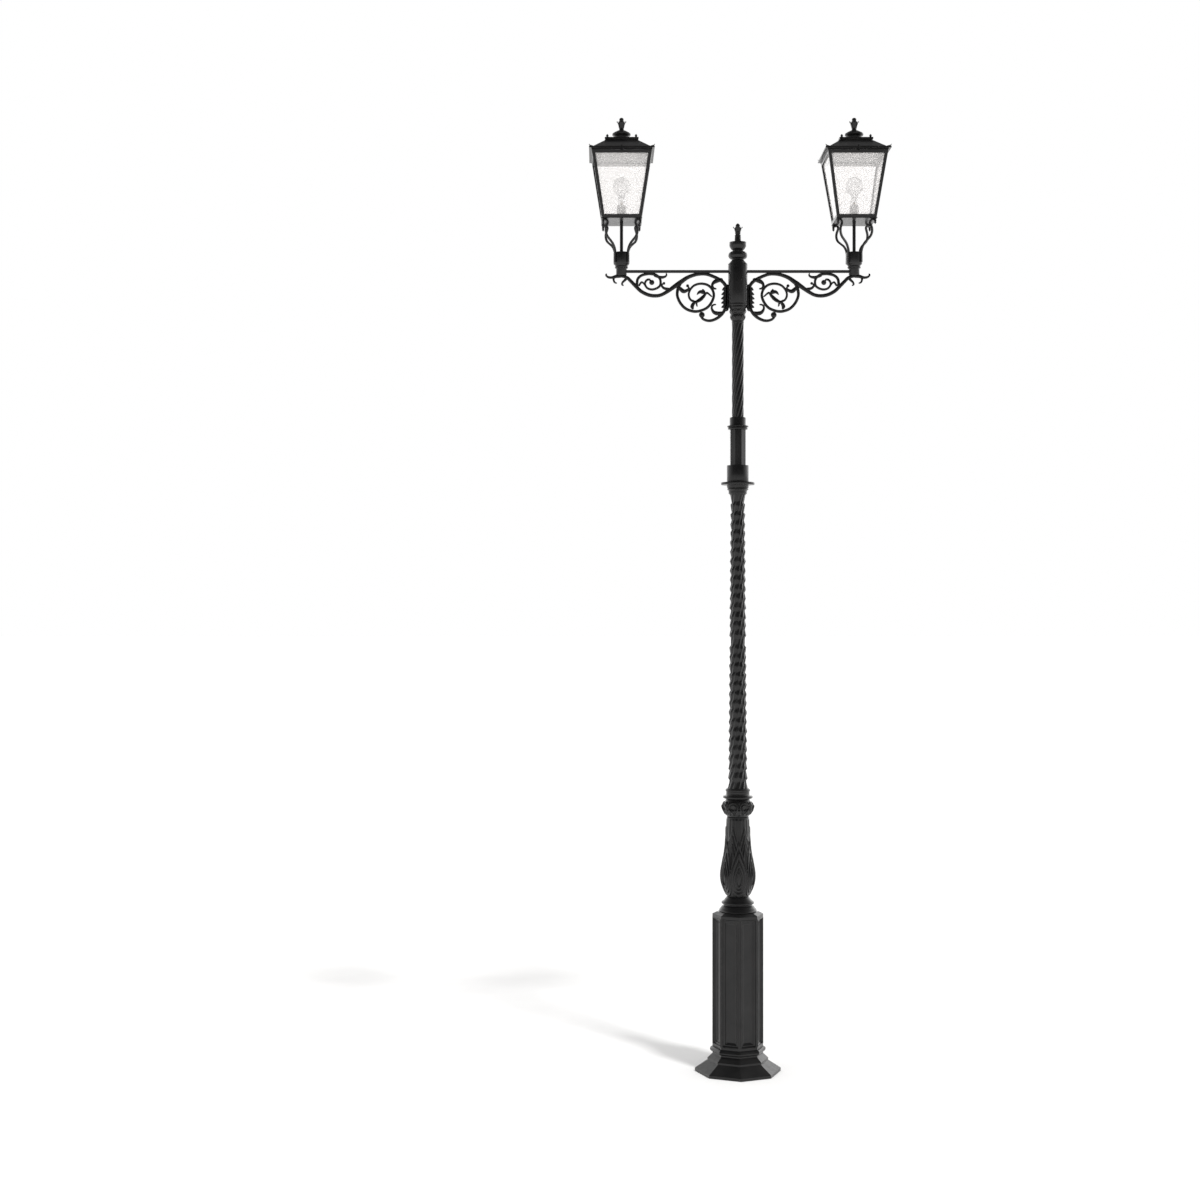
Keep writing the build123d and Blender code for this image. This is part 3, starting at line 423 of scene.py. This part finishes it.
def make_panel_beads():
    """Raised bead around each panel of the pedestal, except on the face with the door."""
    low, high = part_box("pedestal")
    border, below, panel_top = 8 * mm, 17 * mm, 730 * mm
    out, half = high.x * cos(pi / 8), high.x * sin(pi / 8) - border
    bottom, top = low.z + below, low.z + panel_top
    door_low, door_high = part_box("access_door")
    door = (door_low + door_high) / 2
    section = [(-3.6, -2), (-3.2, 0.6), (-1.4, 2.8), (0.6, 2.8), (2.6, 0.6), (3.0, -3)]  # (inward, out) in mm
    shape = Shape()
    for i in range(8):
        normal = Vector((cos(pi / 8 + pi / 4 * i), sin(pi / 8 + pi / 4 * i), 0))
        if normal.x * door.x + normal.y * door.y > 0.9 * hypot(door.x, door.y):
            continue
        along = up.cross(normal)
        rings = []
        for sx, z in ((-1, bottom), (1, bottom), (1, top), (-1, top), (-1, bottom)):
            inward = along * -sx + up * (1 if z == bottom else -1)
            at = normal * out + along * sx * half + up * z
            rings.append([at + inward * across * mm + normal * above * mm for across, above in section])
        shape.skin(rings, ends=False)
    shape.piece("panel_beads", "black_paint", "column", (), 50)


baluster_leaves = 6


def baluster_relief(a, r, h):
    """Drop-shaped leaves with nested ribs, pointed leaves between them, and reeds above."""
    x = around_nearest(a, baluster_leaves) * r
    centre, rib = 108 * mm, 3.3 * mm
    leaf = [(51, 100, 210), (39, 78, 140), (27, 58, 92), (16, 40, 58)]
    out = [drop(x, h - centre, *(v * mm for v in size)) for size in leaf]
    inside = 1 - blend_in(out[0], -2 * mm, 2 * mm)
    hollow = 1 - blend_in(out[-1], -6 * mm, -1 * mm)
    front_leaf = 1.6 * mm + 4.4 * mm * sum(ridge(d, rib) for d in out) - 3.5 * mm * hollow
    x = around_nearest(a, baluster_leaves, pi / baluster_leaves) * r
    back = [(44, 90, 190), (29, 66, 140), (14, 44, 95)]
    out = [drop(x, h - 205 * mm, *(v * mm for v in size)) for size in back]
    on_back = 1 - blend_in(out[0], -2 * mm, 2 * mm)
    back_leaf = 4.0 * mm * sum(ridge(d, rib) for d in out) + 0.6 * mm * on_back
    reeds = 2.0 * mm * (1 - abs(cos(9 * a)) ** 3) * blend_in(h, 290 * mm, 330 * mm) * (1 - on_back)
    leaves = back_leaf * (1 - inside) + front_leaf * inside
    ends = blend_in(h, 2 * mm, 14 * mm) * (1 - blend_in(h, 436 * mm, 446 * mm))
    return (leaves + reeds * (1 - inside)) * ends


def make_baluster():
    carved("baluster", baluster_relief, 432, 300, inset=3.4 * mm).piece(
        "baluster_leaves", "black_paint", "column", ["baluster"], 75)


def collar_relief(a, r, h):
    """Row of hanging drops with curled rims over a row of small lobes."""
    x = around_nearest(a, 8, pi / 8) * r
    outer = drop(x, 62 * mm - h, 26 * mm, 24 * mm, 44 * mm)
    inner = drop(x, 60 * mm - h, 14 * mm, 13 * mm, 26 * mm)
    rim = 7 * mm * ridge(outer, 4 * mm) + 5 * mm * ridge(inner, 3.2 * mm)
    x2 = around_nearest(a, 8) * r
    leaf = drop(x2, h - 34 * mm, 9 * mm, 20 * mm, 52 * mm)
    rim += 5 * mm * ridge(leaf, 3 * mm) + 3 * mm * (1 - blend_in(leaf, -3 * mm, 1 * mm))
    return rim * blend_in(h, 8 * mm, 20 * mm) * (1 - blend_in(h, 88 * mm, 98 * mm))


def make_leaf_collar():
    carved("leaf_collar", collar_relief, 384, 72, inset=8 * mm).piece(
        "carved_collar", "black_paint", "column", ["leaf_collar"], 75)


def capital_relief(a, r, h):
    x = around_nearest(a, 8) * r
    leaf = drop(x, h - 24 * mm, 13 * mm, 12 * mm, 28 * mm)
    egg = drop(around_nearest(a, 8, pi / 8) * r, h - 66 * mm, 13 * mm, 12 * mm, 14 * mm)
    relief = 2.6 * mm * ridge(leaf, 2.5 * mm) + 2.6 * mm * ridge(egg, 2.5 * mm)
    return relief * blend_in(h, 8 * mm, 14 * mm) * (1 - blend_in(h, 78 * mm, 86 * mm))


def make_upper_capital():
    carved("upper_capital", capital_relief, 256, 90, inset=2.4 * mm).piece(
        "carved_capital", "black_paint", "column", ["upper_capital"], 75)


def petal(shape, centre, angle, midline, widths, thickness):
    """Leaf that leaves the axis at centre in the direction angle, its midline in (radius, height)."""
    outward = Vector((cos(angle), sin(angle), 0))
    path = smooth([centre + outward * r + up * z for r, z in midline], 5)
    shape.bar(path, widths, [thickness], outward.cross(up), power=1.0, around=10)


def make_hub_finial():
    """Waisted stem that ends in a tulip."""
    z0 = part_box("hub_finial")[0].z
    shape = Shape()
    shape.turned([(r * mm, z0 + h * mm) for r, h in (
        (20, 0), (20, 3), (18.6, 6), (17, 39), (17.5, 42), (13, 44.5), (12.5, 47), (15, 49), (16, 54),
        (15.5, 60), (15.5, 70), (16.5, 78), (14, 83), (12, 87), (13, 92), (12.6, 97), (9, 103), (4.5, 106.5),
        (1.5, 108))])
    base = Vector((0, 0, z0))
    for i in range(4):
        petal(shape, base, radians(90 * i), [(12 * mm, 58 * mm), (16 * mm, 68 * mm), (18.5 * mm, 77 * mm),
              (22 * mm, 82 * mm), (25.5 * mm, 85.5 * mm), (23 * mm, 88 * mm)],
              [12 * mm, 20 * mm, 23 * mm, 20 * mm, 10 * mm], 5 * mm)
        petal(shape, base, radians(45 + 90 * i), [(12 * mm, 58 * mm), (16 * mm, 70 * mm), (17 * mm, 79 * mm),
              (20 * mm, 86 * mm)], [12 * mm, 17 * mm, 14 * mm, 4 * mm], 3 * mm)
    shape.piece("hub_fleuron", "black_paint", "column", ["hub_finial"], 50)


# ---- scrolled brackets ------------------------------------------------------------------------------
# Centre lines in millimetres: (out from the column's axis, up from the rail).
main_scroll = [(666, -24), (630, -34), (604, -58), (572, -91), (546, -114), (509, -132), (472, -138),
               (436, -133), (399, -113), (362, -87), (325, -61), (289, -36), (252, -21), (215, -14),
               (178, -15), (142, -27), (105, -45), (79, -66), (65, -95), (64, -145), (68, -197), (84, -234),
               (110, -260), (142, -276), (170, -279), (196, -270), (211, -252)]
big_volute = [(325, -66), (338, -92), (344, -129), (336, -160), (320, -187), (299, -208), (273, -221),
              (241, -227), (210, -222), (178, -208), (157, -187), (142, -160), (136, -134), (142, -108),
              (157, -87), (178, -74), (210, -69), (241, -76), (262, -92), (276, -116), (278, -139),
              (268, -160), (247, -171), (226, -168), (205, -155), (186, -137)]
small_volute = [(572, -89), (572, -66), (567, -41), (546, -22), (514, -14), (488, -14), (462, -21),
                (443, -40), (438, -61), (443, -82), (462, -96), (488, -102), (512, -95), (526, -76),
                (524, -58), (511, -46), (494, -47)]


def make_bracket(label, side):
    """One bracket: three scrolls, the leaves that spring from them, and a leafy plate on the hub."""
    rail_low, rail_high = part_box("arm_rails")
    rail_z = (rail_low.z + rail_high.z) / 2
    low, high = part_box(f"scroll_bracket_{label}")
    depth = high.y - low.y
    shape = Shape()

    def place(u, w, y=0.0):
        return Vector((side * u * mm, y, rail_z + w * mm))

    def stroke(points, widths, deep=1.0, steps=6):
        path = smooth([place(u, w) for u, w in points], steps)
        shape.bar(path, [depth * deep], [w * mm for w in widths], Vector((0, 1, 0)), power=0.75)

    def bead(u, w, r, deep=1.0):
        at = place(u, w)
        shape.ball(at, (r * mm, depth / 2 * deep, r * mm))

    stroke(main_scroll, [17, 20, 21, 21, 21, 20, 23, 28, 23, 20, 19, 19, 20, 20, 20, 19, 18, 16, 14])
    bead(204, -246, 17, 1.3)
    stroke(big_volute, [20, 17, 17, 17, 16, 16, 15, 14, 13, 13, 13])
    stroke(small_volute, [17, 16, 16, 14, 13, 13])
    bead(488, -62, 15, 1.25)
    # Stem and three-lobed flower in the big volute.
    stroke([(262, -162), (241, -172), (216, -161), (198, -145), (186, -129), (194, -117)],
           [12, 14, 21, 22, 17, 12])
    stroke([(190, -126), (197, -114), (198, -98)], [20, 28, 4])
    stroke([(192, -122), (210, -115), (222, -120), (233, -133)], [16, 21, 15, 4], 0.9)
    stroke([(186, -130), (176, -121), (164, -128), (155, -136), (146, -144)], [15, 13, 11, 10, 8], 0.9)
    stroke([(241, -172), (254, -186), (259, -200), (252, -215)], [10, 20, 23, 10], 0.95)
    stroke([(243, -172), (234, -182), (233, -192), (228, -199)], [11, 12, 10, 6], 0.8)
    # Leaves that spring from the scrolls.
    stroke([(478, -22), (459, -27), (440, -33), (418, -31), (405, -22), (407, -9)],
           [12, 17, 18, 16, 12, 7], 0.95)
    stroke([(386, -99), (408, -98), (424, -91), (432, -77), (420, -67)], [14, 17, 15, 13, 9], 0.95)
    bead(419, -67, 8, 1.0)
    stroke([(562, -84), (555, -71), (546, -61), (535, -67), (529, -79)], [11, 12, 12, 10, 7], 0.9)
    stroke([(338, -82), (326, -98), (308, -112), (290, -108), (278, -96), (284, -82)],
           [12, 22, 25, 20, 14, 8])
    bead(285, -81, 9, 1.0)
    # Tip under the lantern's cup.
    stroke([(650, -24), (687, -27), (714, -34), (735, -32), (748, -21), (743, -12)], [18, 22, 19, 15, 13, 8])
    stroke([(702, -30), (705, -45), (699, -61), (685, -67)], [15, 13, 11, 7], 0.9)
    stroke([(630, -38), (642, -50), (654, -62), (657, -74), (647, -80)], [16, 15, 13, 11, 7], 0.9)
    # Leafy plate against the hub.
    stroke([(62, -72), (63, -110), (63, -150), (64, -190), (68, -226)], [22, 36, 42, 39, 24])
    for u, w, drop_by in ((90, -106, 12), (94, -132, 13), (96, -156, 13), (95, -180, 12), (94, -204, 12)):
        stroke([(62, w + drop_by), (78, w + drop_by / 2), (u, w)], [22, 23, 5], 0.85)
    stroke([(84, -44), (112, -50), (136, -62), (145, -78), (138, -94), (120, -99)], [14, 25, 25, 17, 13, 9])
    stroke([(84, -232), (110, -238), (134, -232), (147, -213), (146, -196), (134, -188), (122, -188)],
           [14, 22, 24, 18, 13, 11, 8])
    shape.piece(f"scrollwork_{label}", "black_paint", "column", [f"scroll_bracket_{label}"], 50)


# ---- lanterns ---------------------------------------------------------------------------------------
def lantern_centre(label):
    low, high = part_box(f"bottom_tray_{label}")
    return (low.x + high.x) / 2, (low.y + high.y) / 2


def make_vent(label):
    """Ventilator cover: a neck, a hollow, and a wide dish with a rising lid."""
    x, y = lantern_centre(label)
    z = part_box(f"vent_cap_{label}")[0].z
    shape = Shape()
    shape.turned([(r * mm, h * mm) for r, h in (
        (41, 0), (43, 1), (43, 4), (40, 8), (40, 21), (44, 26), (47, 31), (49, 30), (51, 31.5), (52.5, 34),
        (53, 37), (52.3, 40), (50, 42.5), (47, 44.5), (40, 49), (31, 54), (23, 58), (17, 60.5), (13, 61.5),
        (12, 63))], (x, y, z))
    shape.piece(f"vent_cowl_{label}", "black_paint", f"roof_{label}", [f"vent_cap_{label}"], 40)


def make_finials(label):
    """Tulip finial on the vent, and a knob on each corner of the gallery."""
    x, y = lantern_centre(label)
    low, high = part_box(f"roof_finials_{label}")
    centre = Vector((x, y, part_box(f"vent_cap_{label}")[1].z))
    shape = Shape()
    shape.turned([(r * mm, h * mm) for r, h in (
        (14, 0), (14, 2), (12.5, 4), (13.5, 9), (15, 18), (17, 28), (18, 36), (15, 44), (11.5, 49),
        (12.8, 55), (13, 60), (10.5, 65), (6, 68), (1.8, 69))], centre, 40)
    for i in range(4):
        petal(shape, centre, radians(90 * i), [(11 * mm, 6 * mm), (15 * mm, 22 * mm), (18.5 * mm, 34 * mm),
              (21 * mm, 41 * mm), (25 * mm, 45.5 * mm), (22 * mm, 48.5 * mm)],
              [12 * mm, 24 * mm, 27 * mm, 25 * mm, 12 * mm], 5.4 * mm)
        petal(shape, centre, radians(45 + 90 * i), [(11 * mm, 6 * mm), (14 * mm, 24 * mm), (17 * mm, 37 * mm),
              (20 * mm, 46 * mm)], [10 * mm, 19 * mm, 18 * mm, 8 * mm], 4.4 * mm)
    knob_r = 6.5 * mm  # as in the CAD
    offset = (high.x - low.x) / 2 - knob_r
    knob = [(r * mm, h * mm) for r, h in (
        (6, 0), (6, 1.5), (4.5, 3), (6.5, 6), (7.4, 10), (6.8, 13), (4.5, 16), (2.5, 18), (0.8, 19.5))]
    for sx in (-1, 1):
        for sy in (-1, 1):
            shape.turned(knob, (x + sx * offset, y + sy * offset, low.z), 24)
    shape.piece(f"roof_fleuron_{label}", "black_paint", f"roof_{label}", [f"roof_finials_{label}"], 50)


def make_rail_lining(label):
    """White enamelled strips that line the frame's top rail behind the glass."""
    x, y = lantern_centre(label)
    frame_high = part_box(f"glazing_frame_{label}")[1]
    below_top, height, behind_glass, thick = 2 * mm, 17 * mm, 13.5 * mm, 0.8 * mm
    slope = 0.155  # how much the frame narrows per unit of height
    top = frame_high.z - below_top
    bottom = top - height
    half = frame_high.x - x - behind_glass
    shape = Shape()
    for i in range(4):
        out = Vector((cos(pi / 2 * i), sin(pi / 2 * i), 0))
        along = Vector((-out.y, out.x, 0))

        def corner(z, back, side):
            reach = half - (top - z) * slope
            return Vector((x, y, z)) + out * (reach - back) + along * (reach - back) * side

        section = [(bottom, 0), (top, 0), (top, thick), (bottom, thick)]
        shape.skin([[corner(z, back, side) for z, back in section] for side in (-1, 1)])
    shape.piece(f"rail_lining_{label}", "reflector_white", "column", (), 30)


def make_cornice_ears(label):
    """Pointed leaf at each corner of the eaves."""
    x, y = lantern_centre(label)
    low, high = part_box(f"roof_{label}")
    half = (high.x - low.x) / 2
    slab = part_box(f"glazing_frame_{label}")[1].z + 16 * mm  # top of the roof's flat rim
    shape = Shape()
    for i in range(4):
        angle = radians(45 + 90 * i)
        outward = Vector((cos(angle), sin(angle), 0))
        reach = half * sqrt(2)
        path = smooth([Vector((x, y, slab)) + outward * (reach + r * mm) + up * h * mm for r, h in (
            (-34, -1), (-22, 2), (-10, 4), (-3, 7), (0, 11))], 5)
        shape.bar(path, [26 * mm, 24 * mm, 16 * mm, 8 * mm, 2 * mm], [6 * mm, 7 * mm, 6 * mm, 4 * mm, 2 * mm],
                  outward.cross(up), power=1.0)
    shape.piece(f"eaves_leaves_{label}", "black_paint", f"roof_{label}", (), 50)


def make_filament(label):
    """M-shaped filament between two supports."""
    x, y = lantern_centre(label)
    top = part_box("lamp_caps")[1].z - 20 * mm
    shape = Shape()

    def wire(points, diameter):
        path = smooth([Vector((x + u * mm, y, top + w * mm)) for u, w in points], 6)
        shape.bar(path, [diameter * mm], [diameter * mm], Vector((0, 1, 0)), power=1.0, around=8)

    for side in (-1, 1):
        wire([(side * 4, 8), (side * 5, 24), (side * 11, 44), (side * 17, 60)], 1.6)
        wire([(side * 17, 60), (side * 12, 64), (side * 8, 56), (side * 5, 46), (0, 62)], 1.3)
    shape.piece(f"filament_{label}", "steel_hardware", "column", (), 60)


# ---- everything -------------------------------------------------------------------------------------
def make_all():
    make_lower_shaft()
    make_upper_shaft()
    make_panel_beads()
    make_baluster()
    make_leaf_collar()
    make_upper_capital()
    make_hub_finial()
    for label, side in sides.items():
        make_bracket(label, side)
        make_vent(label)
        make_finials(label)
        make_cornice_ears(label)
        make_rail_lining(label)
        make_filament(label)


dress_all()
make_all()


# ---- floor, light and camera ------------------------------------------------------------------------
def make_floor():
    reach = 120.0
    mesh = bpy.data.meshes.new("floor")
    mesh.from_pydata([(-reach, -reach, 0), (reach, -reach, 0), (reach, reach, 0), (-reach, reach, 0)], [],
                     [(0, 1, 2, 3)])
    floor = bpy.data.objects.new("floor", mesh)
    bpy.context.scene.collection.objects.link(floor)
    tree, shader = new_look("floor_paper", (0.86, 0.855, 0.85), 0.9)
    tree.links.new(ramp(tree, noise(tree, 3, 4), (0.85, 0.845, 0.84), (0.87, 0.865, 0.86)),
                   shader.inputs["Base Color"])
    shader.inputs["Specular IOR Level"].default_value = 0.1
    mesh.materials.append(looks["floor_paper"])


def make_world():
    """White studio. Reflections see it dark in front and overhead, bright behind and to the right. It
    lights surfaces a little less than the camera sees, so that the floor's shadow shows."""
    world = bpy.data.worlds.new("studio")
    bpy.context.scene.world = world
    world.use_nodes = True
    tree = world.node_tree
    place = tree.nodes.new("ShaderNodeTexCoord")
    path = tree.nodes.new("ShaderNodeLightPath")
    split = tree.nodes.new("ShaderNodeSeparateXYZ")
    tree.links.new(place.outputs["Generated"], split.inputs["Vector"])

    def level(axis, start, end, low, high):
        node = tree.nodes.new("ShaderNodeMapRange")
        node.interpolation_type = "SMOOTHSTEP"
        for name, value in (("From Min", start), ("From Max", end), ("To Min", low), ("To Max", high)):
            node.inputs[name].default_value = value
        tree.links.new(split.outputs[axis], node.inputs["Value"])
        return node.outputs["Result"]

    def times(first, second):
        node = tree.nodes.new("ShaderNodeMath")
        node.operation = "MULTIPLY"
        tree.links.new(first, node.inputs[0])
        tree.links.new(second, node.inputs[1])
        return node.outputs["Value"]

    seen = times(level("Y", -0.78, 0.5, 0.03, 1.8), level("Z", 0.2, 0.75, 1.0, 0.12))
    seen = times(seen, level("X", -0.9, 0.9, 0.75, 1.25))
    plain = tree.nodes.new("ShaderNodeMix")
    plain.inputs["A"].default_value, plain.inputs["B"].default_value = 0.84, 1.0
    tree.links.new(path.outputs["Is Camera Ray"], plain.inputs["Factor"])
    pick = tree.nodes.new("ShaderNodeMix")
    tree.links.new(path.outputs["Is Glossy Ray"], pick.inputs["Factor"])
    tree.links.new(plain.outputs["Result"], pick.inputs["A"])
    tree.links.new(seen, pick.inputs["B"])
    tree.links.new(pick.outputs["Result"], tree.nodes["Background"].inputs["Strength"])
    tree.nodes["Background"].inputs["Color"].default_value = (1, 1, 1, 1)


def make_sun():
    sun = bpy.data.lights.new("sun", "SUN")
    sun.energy = 1.7
    sun.angle = radians(7)
    lamp = bpy.data.objects.new("sun", sun)
    bpy.context.scene.collection.objects.link(lamp)
    from_there = Vector((1.0, -1.35, 2.66))
    lamp.visible_glossy = False  # no hard glints, as in a soft studio
    lamp.rotation_mode = "QUATERNION"
    lamp.rotation_quaternion = from_there.to_track_quat("Z", "Y")


def make_camera():
    lens = bpy.data.cameras.new("camera")
    lens.lens, lens.sensor_width = 54.0, 36.0
    camera = bpy.data.objects.new("camera", lens)
    bpy.context.scene.collection.objects.link(camera)
    camera.location = (-0.782, -10.215, 2.671)
    camera.rotation_euler = (pi / 2, 0, 0)
    bpy.context.scene.camera = camera


make_floor()
make_world()
make_sun()
make_camera()
bpy.context.scene.view_settings.view_transform = "Standard"
bpy.context.scene.view_settings.look = "None"
